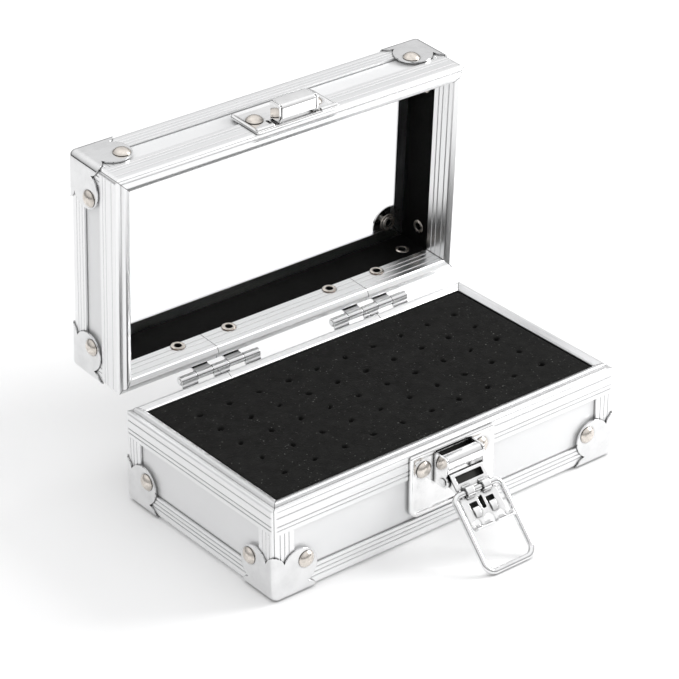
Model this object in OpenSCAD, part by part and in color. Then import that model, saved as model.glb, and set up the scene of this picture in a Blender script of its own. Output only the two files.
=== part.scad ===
// Small aluminium storage case with a clear window in its hinged lid, a punched foam block
// inside, riveted corner protectors, two butt hinges and a draw latch with a wire bail.
// Millimetres. X runs along the length, -Y is the latch side, +Z is up. The origin is the centre
// of the underside, on the plane that the case stands on. The lid is drawn open, the lever and
// the bail hang as they do when nobody holds them.

/* [Case] */
// Length over the side rails
case_l = 150; // [130:1:180]
// Depth over the front and back rails
case_w = 83; // [75:1:110]
// Height of the plane where base and lid meet
seam_z = 36.8; // [36:0.2:44]
// Height of the lid above that plane
lid_h = 29.2; // [26:0.2:40]
// Angle of the opened lid from closed, in degrees
lid_open = 87; // [60:1:89]

/* [Rails and boards] */
// Thickness of the wall boards
board_t = 3.3; // [2.5:0.1:3.3]
// Wall thickness of the rolled rails and corner angles
rail_t = 1.0; // [0.8:0.1:1]
// Width of each flange of the edge and corner angles
flange_w = 8.2; // [6:0.1:9]
// Depth of the rim rails, from the meeting plane to their lower edge
rim_d = 11.1; // [10:0.1:12]
// Radius of the upright outer corners
corner_r = 2.0; // [1.5:0.1:2]

/* [Corner protectors] */
// Thickness of the pressed protector sheet
guard_t = 0.7; // [0.5:0.1:0.8]
// Distance of each protector rivet from the two nearest edges
guard_rivet = 12.6; // [12:0.1:13]
// Radius of the domed rivet heads
rivet_head_r = 3.1; // [2.6:0.1:3.2]

/* [Foam] */
// Holes along the length
hole_cols = 10; // [4:1:10]
// Holes across the depth
hole_rows = 5; // [2:1:5]
// Spacing of the holes along the length
hole_dx = 12.6; // [8:0.1:12.6]
// Spacing of the holes across the depth
hole_dy = 11.7; // [8:0.1:12.6]
// Radius of the punched holes
hole_r = 1.2; // [1:0.1:1.6]
// Depth of the punched holes
hole_depth = 24; // [10:1:26]

/* [Hinges] */
// Distance of each hinge from the middle of the case
hinge_x = 33.5; // [30:0.5:38]
// Length of each hinge
hinge_l = 34; // [24:1:36]
// Outer radius of the hinge knuckles
knuckle_r = 2.2; // [2:0.1:2.4]

/* [Latch] */
// Angle of the hanging lever from upright, in degrees
lever_hang = 43.3; // [20:0.1:50]
// Angle of the bail from upright, in degrees
bail_hang = 42.4; // [20:0.1:44]
// Length of the bail from its pivot to its end
bail_l = 27.7; // [26:0.1:28]
// Half width between the centres of the bail's legs
bail_w = 10.2; // [9.8:0.1:12]
// Radius of the bail wire
wire_r = 1.1; // [0.9:0.05:1.1]

/* [Hidden] */
$fn = 48;
EPS = 0.01;
hx = case_l / 2;
hy = case_w / 2;
top_z = seam_z + lid_h;
parting = 0.15;                        // half of the gap between the two closed rims
bottom_z = guard_t;                    // underside of the edge angles
board_out = rail_t;                    // board faces lie this far inside the rails
board_in = rail_t + board_t;
inner_wall = board_in + rail_t;        // inset of the rims' inner flanges
shoulder = 1.5;                        // height of the ridge above the outer shoulder
rim_lo = seam_z - rim_d;               // lower edge of the base's rim rails
rim_hi = seam_z - parting;             // top of their ridge
groove_deep = 0.18;                    // depth of the fine grooves in the rolled rails
lid_mirror_z = 2 * seam_z - top_z;     // lid's top face, mirrored about the meeting plane
pane_z = lid_mirror_z + guard_t + rail_t;
board_top = seam_z - shoulder - 1.05;  // upper edge of the wall boards, inside the rim rails
floor_t = 2.6;
pane_t = 2.0;
lining_t = 0.8;
foam_top = seam_z - shoulder;
floor_top = bottom_z + rail_t + floor_t;
guard_z = guard_rivet + 0.4;           // height of the side rivets above the protector's edge
rivet_head_h = 1.7;
shank_r = 1.5;
hinge_y = hy + knuckle_r;
hinge_rivet_dx = 11;
hinge_rivet_dz = 9.2;
leaf_t = 0.8;
leaf_h = 14;
pin_r = 0.9;
knuckles = 5;
knuckle_gap = 0.2;
plate_w = 37;
plate_h = 24;
plate_z = 34.3;
plate_t = 1.2;
latch_rivet_x = 12.6;
latch_rivet_z = 27.8;
ear_t = 0.8;
ear_x = 7.5;
bracket_d = 7.6;
bracket_z = plate_z - 1.3;
latch_pin_y = -hy - 5.7;
latch_pin_z = 23.6;
lever_w = 7.2;
lever_l = 18.6;
lever_v = 3.7;                         // lever's outer face, measured from the pin axis
sheet_t = 0.8;
strap_x = 3.6;                         // the lever's two straps, from its middle
flare = 0.7;                           // how much wider the lever's end is on each side
bail_u = 6.5;                          // bail pivot along the lever, from the pin
bail_v = 4.0;                          // bail pivot in front of the pin axis
strike_w = 17.3;
strike_h = 16.5;
strike_z = seam_z + 0.9;
strike_t = 0.8;
strike_rivet_dz = 9.3;
keeper_h = 8;
keeper_w = 8.4;
keeper_z = seam_z + 6.2;               // level where the bail wire catches

SIDES = ["front", "right", "back", "left"];
PANEL_NAMES = [for (s = SIDES) str(s, "_panel")];
ANGLE_NAMES = [for (s = SIDES) str(s, "_edge_angle")];
CORNER_NAMES = ["front_left", "front_right", "back_right", "back_left"];
CORNERS = [[-1, -1], [1, -1], [1, 1], [-1, 1]];
HALVES = ["left", "right"];

// ---------- helpers ----------

// Half length and half depth of the run along side k of the rectangle
function run_half(k) = k % 2 == 0 ? hx : hy;
function run_depth(k) = k % 2 == 0 ? hy : hx;

// Points of a shallow V groove at height z in an upright face at inset t, met going up or down
function groove(t, z, deep) = [[t, z - 0.3], [t + deep, z], [t, z + 0.3]];
function groove_down(t, z, deep) = [[t, z + 0.3], [t - deep, z], [t, z - 0.3]];

// Point at angle a on a circle
function on_circle(c, r, a) = [c[0] + r * cos(a), c[1] + r * sin(a)];

// Puts the profile (inset, height) along side k, mitred at 45 degrees at both ends
module mitred_run(k, profile, depth = 12) {
    a = run_half(k);
    b = run_depth(k);
    rotate([0, 0, 90 * k])
        intersection() {
            translate([0, -b, 0])
                rotate([90, 0, 90])
                    linear_extrude(2 * a, center = true)
                        polygon(profile);
            translate([0, 0, -5])
                linear_extrude(top_z + 10)
                    polygon([[-a, -b], [a, -b], [a - depth, depth - b], [depth - a, depth - b]]);
        }
}

// Rectangle with rounded corners
module rounded_rect(half_x, half_y, r) {
    square([2 * half_x - 2 * r, 2 * half_y], center = true);
    square([2 * half_x, 2 * half_y - 2 * r], center = true);
    for (c = CORNERS)
        translate([c[0] * (half_x - r), c[1] * (half_y - r)])
            circle(r);
}

// Column that rounds the upright outer edges of everything inside it
module corner_rounding() {
    translate([0, 0, -5])
        linear_extrude(top_z + 10)
            rounded_rect(hx, hy, corner_r);
}

// Turns a lid piece from its closed place to its open place
module opened() {
    translate([0, hinge_y, seam_z])
        rotate([-lid_open, 0, 0])
            translate([0, -hinge_y, -seam_z])
                children();
}

// Mirrors a base piece about the meeting plane and lifts it to the height of the lid
module in_lid() {
    translate([0, 0, 2 * seam_z])
        mirror([0, 0, 1])
            children();
}

// Places a rivet axis on the front, right, back or left face, pointing outward along local +Z
module on_side(k, along, z) {
    rotate([0, 0, 90 * k])
        translate([along, -run_depth(k), z])
            rotate([90, 0, 0])
                children();
}

// Both side rivets of every protector, for the given height
module at_guard_rivets(z) {
    for (k = [0:3])
        for (s = [-1, 1])
            on_side(k, s * (run_half(k) - guard_rivet), z)
                children();
}

// The face rivet of every protector, at the level z
module at_corner_tops(z) {
    for (c = CORNERS)
        translate([c[0] * (hx - guard_rivet), c[1] * (hy - guard_rivet), z])
            children();
}

module at_hinge_rivets(z) {
    for (s = [-1, 1])
        for (d = [-1, 1])
            on_side(2, s * hinge_x + d * hinge_rivet_dx, z)
                children();
}

// Rivet hole through everything on a wall
module rivet_hole() {
    translate([0, 0, -inner_wall - 2])
        cylinder(h = inner_wall + 6, r = shank_r);
}

// Domed tubular rivet: head from level 0 outward, shank of length reach, rolled tail if tail > 0
module rivet(head_r, head_h, reach, tail = 0) {
    sphere_r = (head_r * head_r + head_h * head_h) / (2 * head_h);
    difference() {
        union() {
            intersection() {
                translate([0, 0, head_h - sphere_r])
                    sphere(sphere_r);
                cylinder(h = head_h + 1, r = head_r);
            }
            translate([0, 0, -reach])
                cylinder(h = reach + EPS, r = shank_r);
            if (tail > 0)
                translate([0, 0, -reach - tail])
                    cylinder(h = tail, r = shank_r + 0.7);
        }
        if (tail > 0)
            translate([0, 0, -reach - tail - EPS])
                cylinder(h = 2.5, r = shank_r - 0.5);
    }
}

// ---------- profiles, as (inset, height) ----------

RIM_PROFILE = concat(
    [[0, rim_lo]],
    groove(0, rim_lo + 1.7, groove_deep),
    groove(0, rim_lo + 3.3, groove_deep),
    groove(0, rim_lo + 6.6, groove_deep),
    [for (a = [180:-15:90]) on_circle([1.1, seam_z - shoulder - 1.1], 1.1, a)],
    [[1.9, seam_z - shoulder], [2.3, rim_hi - 0.3], [2.6, rim_hi], [3.3, rim_hi]],
    [[inner_wall - 0.4, seam_z - shoulder + 0.5], [inner_wall, seam_z - shoulder + 0.1]],
    groove_down(inner_wall, rim_lo + 7.6, groove_deep),
    groove_down(inner_wall, rim_lo + 4.6, groove_deep),
    groove_down(inner_wall, rim_lo + 2.4, groove_deep),
    [[inner_wall, rim_lo], [board_in, rim_lo], [board_in, seam_z - shoulder - 1],
     [board_out, seam_z - shoulder - 1], [board_out, rim_lo]]
);

ANGLE_PROFILE = concat(
    [for (a = [270:-15:180]) on_circle([corner_r, bottom_z + corner_r], corner_r, a)],
    groove(0, bottom_z + 3.6, groove_deep),
    groove(0, bottom_z + 5.2, groove_deep),
    groove(0, bottom_z + 6.9, groove_deep),
    [[0, bottom_z + flange_w], [rail_t, bottom_z + flange_w], [rail_t, bottom_z + rail_t],
     [flange_w, bottom_z + rail_t], [flange_w, bottom_z]]
);

// ---------- shell pieces, drawn for the base and reused for the lid ----------

// Wall board on side k between the levels z0 and z1; the side boards stand between the long ones
module wall_board(k, z0, z1) {
    half = k % 2 == 0 ? hx - board_out : hy - board_in;
    color("white")
        rotate([0, 0, 90 * k])
            translate([-half, -run_depth(k) + board_out, z0])
                cube([2 * half, board_t, z1 - z0]);
}

// Every hole that passes through a wall of the base
module wall_holes() {
    at_guard_rivets(guard_z)
        rivet_hole();
    at_hinge_rivets(seam_z - hinge_rivet_dz)
        rivet_hole();
    for (s = [-1, 1])
        on_side(0, s * latch_rivet_x, latch_rivet_z)
            rivet_hole();
}

// Every hole that passes through a wall of the lid, drawn in the mirrored place
module lid_wall_holes() {
    at_guard_rivets(guard_z + lid_mirror_z)
        rivet_hole();
    at_hinge_rivets(seam_z - hinge_rivet_dz)
        rivet_hole();
    for (s = [-1, 1])
        on_side(0, s * latch_rivet_x, seam_z - strike_rivet_dz)
            rivet_hole();
}

// Edge angle along side k, raised by lift
module edge_angle(k, lift) {
    color("gainsboro")
        intersection() {
            translate([0, 0, lift])
                mitred_run(k, ANGLE_PROFILE);
            corner_rounding();
        }
}

module rim_sides() {
    for (k = [0, 1, 3])
        mitred_run(k, RIM_PROFILE);
    difference() {
        mitred_run(2, RIM_PROFILE);
        translate([-hinge_x - 0.1, 0, -5])
            cube([2 * hinge_x + 0.2, hy + 5, top_z + 10]);
    }
}

// Rim rail that runs round the front and sides and ends at the middle of each hinge
module rim_wrap() {
    intersection() {
        rim_sides();
        corner_rounding();
    }
}

// Short length of the rim rail between the two hinges
module rim_back() {
    intersection() {
        mitred_run(2, RIM_PROFILE);
        translate([0.1 - hinge_x, 0, -5])
            cube([2 * hinge_x - 0.2, hy + 5, top_z + 10]);
    }
}

// Upright corner angle between the edge angle and the rim
module upright(c, z0, z1) {
    color("whitesmoke")
        intersection() {
            translate([0, 0, z0])
                linear_extrude(z1 - z0)
                    difference() {
                        rounded_rect(hx, hy, corner_r);
                        square([2 * (hx - rail_t), 2 * (hy - rail_t)], center = true);
                        for (d = [2.6, 4.4, 6.2])
                            for (at = [[hx - d, hy], [hx, hy - d]])
                                translate([c[0] * at[0], c[1] * at[1]])
                                    rotate([0, 0, 45])
                                        square(0.3, center = true);
                    }
            translate([c[0] * (hx - flange_w / 2 + 1), c[1] * (hy - flange_w / 2 + 1), z0 + 30])
                cube([flange_w + 2, flange_w + 2, 100], center = true);
        }
}

// Flat outline of one protector face, corner at the origin: a big lobe and an ear on each edge
module guard_outline() {
    lobe = 10.6;
    ear = 13.2;
    square(lobe);
    intersection() {
        union() {
            translate([lobe, lobe])
                circle(7.2);
            translate([0, ear])
                circle(4.4);
            translate([ear, 0])
                circle(4.4);
            square([ear, 4.4]);
            square([4.4, ear]);
        }
        square(20);
    }
}

// Solid corner of a box with rounded edges, its faces at distance d from the three planes
module rounded_corner(d, r) {
    m = 24;
    c = d + r;
    translate([c, c, d])
        cube([m, m, m]);
    translate([c, d, c])
        cube([m, m, m]);
    translate([d, c, c])
        cube([m, m, m]);
    translate([c, c, c]) {
        cylinder(h = m, r = r);
        rotate([0, 90, 0])
            cylinder(h = m, r = r);
        rotate([-90, 0, 0])
            cylinder(h = m, r = r);
        sphere(r);
    }
}

// Pressed sheet corner protector with a lobe on each of its three faces
module guard_shape() {
    wrap = 1.45;
    difference() {
        rounded_corner(0, corner_r + guard_t);
        rounded_corner(guard_t, corner_r);
        difference() {
            translate([-1, -1, -1])
                cube(40);
            linear_extrude(wrap)
                guard_outline();
            rotate([90, 0, 90])
                linear_extrude(wrap)
                    guard_outline();
            translate([0, wrap, 0])
                rotate([90, 0, 0])
                    linear_extrude(wrap)
                        guard_outline();
        }
        translate([guard_rivet + guard_t, guard_rivet + guard_t, -1])
            cylinder(h = 3, r = shank_r);
        translate([guard_rivet + guard_t, -1, guard_z])
            rotate([-90, 0, 0])
                cylinder(h = 3, r = shank_r);
        translate([-1, guard_rivet + guard_t, guard_z])
            rotate([0, 90, 0])
                cylinder(h = 3, r = shank_r);
    }
}

module protector(c) {
    color("silver")
        mirror([c[0] > 0 ? 1 : 0, 0, 0])
            mirror([0, c[1] > 0 ? 1 : 0, 0])
                translate([-hx - guard_t, -hy - guard_t, 0])
                    guard_shape();
}

// ---------- base ----------

module base_panel(k) {
    difference() {
        wall_board(k, floor_top - floor_t, board_top);
        wall_holes();
    }
}

module base_floor_board() {
    color("white")
        difference() {
            translate([board_in - hx, board_in - hy, bottom_z + rail_t])
                cube([2 * (hx - board_in), 2 * (hy - board_in), floor_t]);
            at_corner_tops(bottom_z)
                cylinder(h = 6, r = shank_r);
        }
}

module base_rim() {
    color("whitesmoke")
        difference() {
            rim_wrap();
            wall_holes();
        }
}

module base_rim_back() {
    color("whitesmoke")
        difference() {
            rim_back();
            wall_holes();
        }
}

// Two domed rivets on the sides of each protector and a flush one under it
module base_rivets() {
    color("tan") {
        at_guard_rivets(guard_z)
            translate([0, 0, guard_t])
                rivet(rivet_head_r, rivet_head_h, guard_t + board_in, 0.5);
        at_corner_tops(0)
            cylinder(h = floor_top, r = shank_r);
    }
}

module base_hinge_rivets() {
    color("tan")
        at_hinge_rivets(seam_z - hinge_rivet_dz)
            translate([0, 0, leaf_t])
                rivet(2.4, 0.9, leaf_t + inner_wall);
}

module foam_insert() {
    gap = 0.2;
    half_x = hx - inner_wall - gap;
    half_y = hy - inner_wall - gap;
    color("#262625")
        difference() {
            translate([-half_x, -half_y, floor_top])
                cube([2 * half_x, 2 * half_y, foam_top - floor_top]);
            for (i = [0:hole_cols - 1])
                for (j = [0:hole_rows - 1])
                    translate([
                        (i - (hole_cols - 1) / 2) * hole_dx,
                        (j - (hole_rows - 1) / 2) * hole_dy,
                        foam_top - hole_depth
                    ])
                        cylinder(h = hole_depth + 1, r = hole_r, $fn = 24);
        }
}

// ---------- hinges ----------

// One hinge leaf about its own pin axis (the X axis). The leaf hangs down from the axis on the
// side away from +Y. own = 0 takes the first, third and fifth knuckle, own = 1 the others.
module hinge_leaf(own) {
    pitch = hinge_l / knuckles;
    relief = knuckle_r + 0.3;
    rotate([90, 0, 90])
        difference() {
            union() {
                translate([-knuckle_r, -leaf_h, -hinge_l / 2])
                    cube([leaf_t, leaf_h - relief, hinge_l]);
                for (i = [own:2:knuckles - 1])
                    translate([0, 0, i * pitch - hinge_l / 2 + knuckle_gap / 2]) {
                        cylinder(h = pitch - knuckle_gap, r = knuckle_r);
                        translate([-knuckle_r, -relief - EPS, 0])
                            cube([leaf_t, relief + EPS, pitch - knuckle_gap]);
                    }
            }
            translate([0, 0, -hinge_l])
                cylinder(h = 2 * hinge_l, r = pin_r + 0.05);
            for (d = [-1, 1])
                translate([-knuckle_r - 1, -hinge_rivet_dz, d * hinge_rivet_dx])
                    rotate([0, 90, 0])
                        cylinder(h = 3, r = shank_r);
        }
}

module hinge_base_leaf(s) {
    color("silver")
        translate([s * hinge_x, hinge_y, seam_z])
            hinge_leaf(0);
}

module hinge_lid_leaf(s) {
    color("silver")
        opened()
            in_lid()
                translate([s * hinge_x, hinge_y, seam_z])
                    hinge_leaf(1);
}

module hinge_pin(s) {
    color("darkgray")
        translate([s * hinge_x - hinge_l / 2, hinge_y, seam_z])
            rotate([0, 90, 0])
                cylinder(h = hinge_l, r = pin_r);
}

// ---------- latch on the base ----------

// Outline of the latch plate: square at the top, rounded below
module plate_outline(inset) {
    r = 3.5;
    w = plate_w / 2 - inset;
    straight = w - r;
    translate([-w, inset + r])
        square([2 * w, plate_h - 2 * inset - r]);
    translate([-straight, inset])
        square([2 * straight, r]);
    for (s = [-1, 1])
        translate([s * straight, inset + r])
            circle(r);
}

// Dished plate with a stepped edge
module latch_plate() {
    color("silver")
        difference() {
            translate([0, -hy, plate_z - plate_h])
                rotate([90, 0, 0]) {
                    linear_extrude(plate_t / 2)
                        plate_outline(0);
                    linear_extrude(plate_t)
                        plate_outline(0.6);
                }
            for (s = [-1, 1])
                on_side(0, s * latch_rivet_x, latch_rivet_z)
                    rivet_hole();
        }
}

// Side ear of the bracket, as (outward distance, height)
module ear_outline() {
    r = 2.4;
    pin_out = -hy - latch_pin_y;
    difference() {
        union() {
            translate([plate_t, latch_pin_z])
                square([bracket_d - plate_t, bracket_z - latch_pin_z]);
            translate([plate_t, latch_pin_z - r])
                square([pin_out - plate_t, 2 * r]);
            translate([pin_out, latch_pin_z])
                circle(r);
        }
        translate([pin_out, latch_pin_z])
            circle(pin_r);
    }
}

// Raised bracket: two ears, a folded bar across the top with a slot behind it
module latch_bracket() {
    slot_d = 3.9;
    apron_h = 4.4;
    color("silver") {
        for (s = [-1, 1])
            translate([s > 0 ? ear_x : -ear_x - ear_t, -hy, 0])
                mirror([0, 1, 0])
                    rotate([90, 0, 90])
                        linear_extrude(ear_t)
                            ear_outline();
        translate([-ear_x - EPS, -hy - bracket_d, bracket_z - ear_t])
            cube([2 * ear_x + 2 * EPS, bracket_d - slot_d, ear_t]);
        translate([-ear_x - EPS, -hy - bracket_d, bracket_z - apron_h])
            cube([2 * ear_x + 2 * EPS, ear_t, apron_h]);
    }
}

module latch_pin() {
    color("darkgray")
        translate([-ear_x - ear_t - 0.4, latch_pin_y, latch_pin_z])
            rotate([0, 90, 0])
                cylinder(h = 2 * (ear_x + ear_t + 0.4), r = pin_r);
}

module latch_rivets() {
    color("tan")
        for (s = [-1, 1])
            on_side(0, s * latch_rivet_x, latch_rivet_z)
                translate([0, 0, plate_t])
                    rivet(rivet_head_r, rivet_head_h, plate_t + inner_wall);
}

// ---------- lever and bail ----------

// Lever frame: the pin axis is X, local -Z runs down the lever and local -Y is its outer side
module lever_frame() {
    translate([0, latch_pin_y, latch_pin_z])
        rotate([-lever_hang, 0, 0])
            children();
}

// Block between two distances along the lever and two in front of the pin axis
module lever_block(half_w, u0, u1, v0, v1) {
    translate([-half_w, -v1, -u1])
        cube([2 * half_w, v1 - v0, u1 - u0]);
}

// Strap stamped up over the bail's bar
module lever_strap(x0, w) {
    reach = wire_r + 0.2;
    high = bail_v + wire_r + 0.1;
    translate([x0, 0, 0]) {
        lever_block(w / 2, bail_u - reach - sheet_t, bail_u - reach, lever_v - EPS, high + sheet_t);
        lever_block(w / 2, bail_u + reach, bail_u + reach + sheet_t, lever_v - EPS, high + sheet_t);
        lever_block(w / 2, bail_u - reach - sheet_t, bail_u + reach + sheet_t, high, high + sheet_t);
    }
}

module latch_lever() {
    v_in = lever_v - sheet_t;
    trough = wire_r + 0.2;
    color("silver")
        lever_frame()
            difference() {
                union() {
                    // face of the lever, and its flared end
                    lever_block(lever_w, -1, 12, v_in, lever_v);
                    lever_block(lever_w + flare, 12 - EPS, lever_l, v_in, lever_v);
                    // side flanges that hold the pin
                    for (s = [-1, 1])
                        translate([s * (lever_w - sheet_t / 2), 0, 0]) {
                            lever_block(sheet_t / 2, -1, 4.6, 0, v_in + EPS);
                            rotate([0, 90, 0])
                                cylinder(h = sheet_t, r = 2, center = true);
                        }
                    // end curled outward round the lip
                    translate([0, -lever_v - 0.8, -lever_l])
                        rotate([0, 90, 0])
                            cylinder(h = 2 * (lever_w + flare), r = 1.6, center = true);
                    for (s = [-1, 1])
                        lever_strap(s * strap_x, 3);
                }
                // slot below the upper edge
                lever_block(5.6, 0.2, 2.9, v_in - 1, lever_v + 1);
                // trough where the bail's bar lies
                lever_block(lever_w + 1, bail_u - trough, bail_u + trough, v_in - 1, lever_v + EPS);
                // stamped windows below the straps
                for (s = [-1, 1])
                    translate([s * strap_x, 0, 0])
                        lever_block(1.6, 10.4, 12.6, v_in - 1, lever_v + 1);
                translate([-lever_w - 1, 0, 0])
                    rotate([0, 90, 0])
                        cylinder(h = 2 * lever_w + 2, r = pin_r + 0.05);
                // thumb notch in the curled end
                translate([0, -lever_v - 3.6, -lever_l - 2.6])
                    rotate([90, 0, 0])
                        cylinder(h = 8, r = 3.6, center = true);
            }
    // bridges that join the upper and lower part behind the trough
    color("silver")
        lever_frame()
            for (s = [-1, 1])
                translate([s * strap_x, 0, 0])
                    difference() {
                        lever_block(1.5, bail_u - trough - 1, bail_u + trough + 1, v_in - 1.1, v_in + 0.3);
                        lever_block(2, bail_u - trough, bail_u + trough, v_in - 0.2, v_in + 1);
                    }
}

// Rectangular wire bail: a bar through the lever, two legs and an end bar
module latch_bail() {
    bend_top = 2.6;
    bend_end = 3.4;
    pivot_y = latch_pin_y - bail_u * sin(lever_hang) - bail_v * cos(lever_hang);
    pivot_z = latch_pin_z - bail_u * cos(lever_hang) + bail_v * sin(lever_hang);
    color("silver")
        translate([0, pivot_y, pivot_z])
            rotate([-bail_hang, 0, 0]) {
                rotate([0, 90, 0])
                    cylinder(h = 2 * (bail_w - bend_top), r = wire_r, center = true);
                translate([0, 0, -bail_l])
                    rotate([0, 90, 0])
                        cylinder(h = 2 * (bail_w - bend_end), r = wire_r, center = true);
                for (s = [-1, 1]) {
                    translate([s * bail_w, 0, bend_end - bail_l])
                        cylinder(h = bail_l - bend_end - bend_top, r = wire_r);
                    translate([s * (bail_w - bend_top), 0, -bend_top])
                        bail_bend(s, bend_top, 1);
                    translate([s * (bail_w - bend_end), 0, bend_end - bail_l])
                        bail_bend(s, bend_end, -1);
                }
            }
}

// Quarter bend of the wire in the XZ plane, towards side s and up or down
module bail_bend(s, bend, up) {
    mirror([s > 0 ? 0 : 1, 0, 0])
        mirror([0, 0, up > 0 ? 0 : 1])
            rotate([90, 0, 0])
                rotate_extrude(angle = 90)
                    translate([bend, 0])
                        circle(wire_r);
}

// ---------- lid, drawn closed and then opened ----------

module lid_panel(k) {
    opened()
        in_lid()
            difference() {
                wall_board(k, pane_z + pane_t, board_top);
                lid_wall_holes();
            }
}

// Thin dark lining inside the lid boards, above the rim's inner flange
module lid_lining() {
    z0 = pane_z + pane_t;
    z1 = rim_lo;
    color("#1d1d1d")
        opened()
            in_lid()
                difference() {
                    translate([board_in - hx, board_in - hy, z0])
                        cube([2 * (hx - board_in), 2 * (hy - board_in), z1 - z0]);
                    translate([board_in + lining_t - hx, board_in + lining_t - hy, z0 - 1])
                        cube([
                            2 * (hx - board_in - lining_t),
                            2 * (hy - board_in - lining_t),
                            z1 - z0 + 2
                        ]);
                    lid_wall_holes();
                }
}

module window_pane() {
    color("lightcyan", 0.3)
        opened()
            in_lid()
                difference() {
                    translate([board_out - hx, board_out - hy, pane_z])
                        cube([2 * (hx - board_out), 2 * (hy - board_out), pane_t]);
                    at_corner_tops(lid_mirror_z - 1)
                        cylinder(h = 10, r = shank_r);
                }
}

module lid_rim() {
    color("whitesmoke")
        opened()
            in_lid()
                difference() {
                    rim_wrap();
                    lid_wall_holes();
                }
}

module lid_rim_back() {
    color("whitesmoke")
        opened()
            in_lid()
                difference() {
                    rim_back();
                    lid_wall_holes();
                }
}

module lid_protector(c) {
    opened()
        in_lid()
            translate([0, 0, lid_mirror_z])
                protector(c);
}

// Three domed rivets for each lid protector
module lid_rivets() {
    color("tan")
        opened()
            in_lid() {
                at_guard_rivets(lid_mirror_z + guard_z)
                    translate([0, 0, guard_t])
                        rivet(rivet_head_r, rivet_head_h, guard_t + board_in + lining_t, 0.5);
                at_corner_tops(lid_mirror_z)
                    mirror([0, 0, 1])
                        rivet(rivet_head_r, rivet_head_h, guard_t + rail_t + pane_t, 0.6);
            }
}

module lid_hinge_rivets() {
    color("tan")
        opened()
            in_lid()
                at_hinge_rivets(seam_z - hinge_rivet_dz)
                    translate([0, 0, leaf_t])
                        rivet(2.4, 0.9, leaf_t + inner_wall, 0.5);
}

// Keeper on the front of the lid: a plate and a raised box that the bail hooks over
module strike() {
    leg = 0.8;
    face_y = -hy - keeper_h;
    plate_y = -hy - strike_t;
    color("silver")
        opened() {
            difference() {
                translate([-strike_w, plate_y, strike_z])
                    cube([2 * strike_w, strike_t, strike_h]);
                in_lid()
                    for (s = [-1, 1])
                        on_side(0, s * latch_rivet_x, seam_z - strike_rivet_dz)
                            rivet_hole();
            }
            // folded edges at both ends of the plate
            for (s = [-1, 1])
                translate([s > 0 ? strike_w : -strike_w - 0.6, plate_y + 0.2, strike_z + 1])
                    cube([0.6, strike_t - 0.2, strike_h - 2]);
            // raised face with the lip that keeps the wire in
            translate([-keeper_w, face_y, strike_z])
                cube([2 * keeper_w, leg, keeper_z + 1.3 - strike_z]);
            // legs
            for (s = [-1, 1])
                translate([s > 0 ? keeper_w - leg : -keeper_w, face_y, strike_z])
                    cube([leg, keeper_h - strike_t + EPS, keeper_z - strike_z]);
            // end wall, stopping short of the plate
            translate([0.5 + leg - keeper_w, face_y, strike_z])
                cube([2 * (keeper_w - leg - 0.5), keeper_h - strike_t - 1.3, leg]);
        }
}

module strike_rivets() {
    color("tan")
        opened()
            in_lid()
                for (s = [-1, 1])
                    on_side(0, s * latch_rivet_x, seam_z - strike_rivet_dz)
                        translate([0, 0, strike_t])
                            rivet(rivet_head_r, rivet_head_h, strike_t + inner_wall);
}

// ---------- the nodes ----------

for (k = [0:3]) {
    base_panel(k);
    lid_panel(k);
    edge_angle(k, 0);
    opened() in_lid() edge_angle(k, lid_mirror_z);
    upright(CORNERS[k], bottom_z + flange_w, rim_lo);
    opened() in_lid() upright(CORNERS[k], lid_mirror_z + bottom_z + flange_w, rim_lo);
    protector(CORNERS[k]);
    lid_protector(CORNERS[k]);
}
for (h = [0, 1]) {
    s = 2 * h - 1;
    hinge_base_leaf(s);
    hinge_lid_leaf(s);
    hinge_pin(s);
}
base_floor_board();
base_rim();
base_rim_back();
base_rivets();
base_hinge_rivets();
foam_insert();
latch_plate();
latch_bracket();
latch_pin();
latch_rivets();
lid_lining();
window_pane();
lid_rim();
lid_rim_back();
lid_rivets();
lid_hinge_rivets();
strike();
strike_rivets();
latch_lever();
latch_bail();
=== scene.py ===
import math
import random

import bmesh
import bpy
from mathutils import Matrix, Vector, noise

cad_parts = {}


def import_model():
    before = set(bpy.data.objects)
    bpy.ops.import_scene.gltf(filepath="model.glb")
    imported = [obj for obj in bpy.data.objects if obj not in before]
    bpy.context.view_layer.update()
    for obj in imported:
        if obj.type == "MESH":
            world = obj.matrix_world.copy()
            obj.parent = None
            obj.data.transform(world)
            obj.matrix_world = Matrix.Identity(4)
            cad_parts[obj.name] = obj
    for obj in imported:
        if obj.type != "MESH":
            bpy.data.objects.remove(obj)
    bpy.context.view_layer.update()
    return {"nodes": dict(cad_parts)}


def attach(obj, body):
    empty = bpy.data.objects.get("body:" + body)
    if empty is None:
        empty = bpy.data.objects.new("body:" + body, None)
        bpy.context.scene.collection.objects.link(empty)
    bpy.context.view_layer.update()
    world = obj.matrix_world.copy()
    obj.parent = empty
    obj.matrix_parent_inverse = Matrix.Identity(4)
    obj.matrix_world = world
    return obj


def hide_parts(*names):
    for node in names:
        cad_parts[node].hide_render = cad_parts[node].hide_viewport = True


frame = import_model()
random.seed(7)
MM = 0.001

# ---------- the case's main sizes, in millimetres ----------

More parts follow.
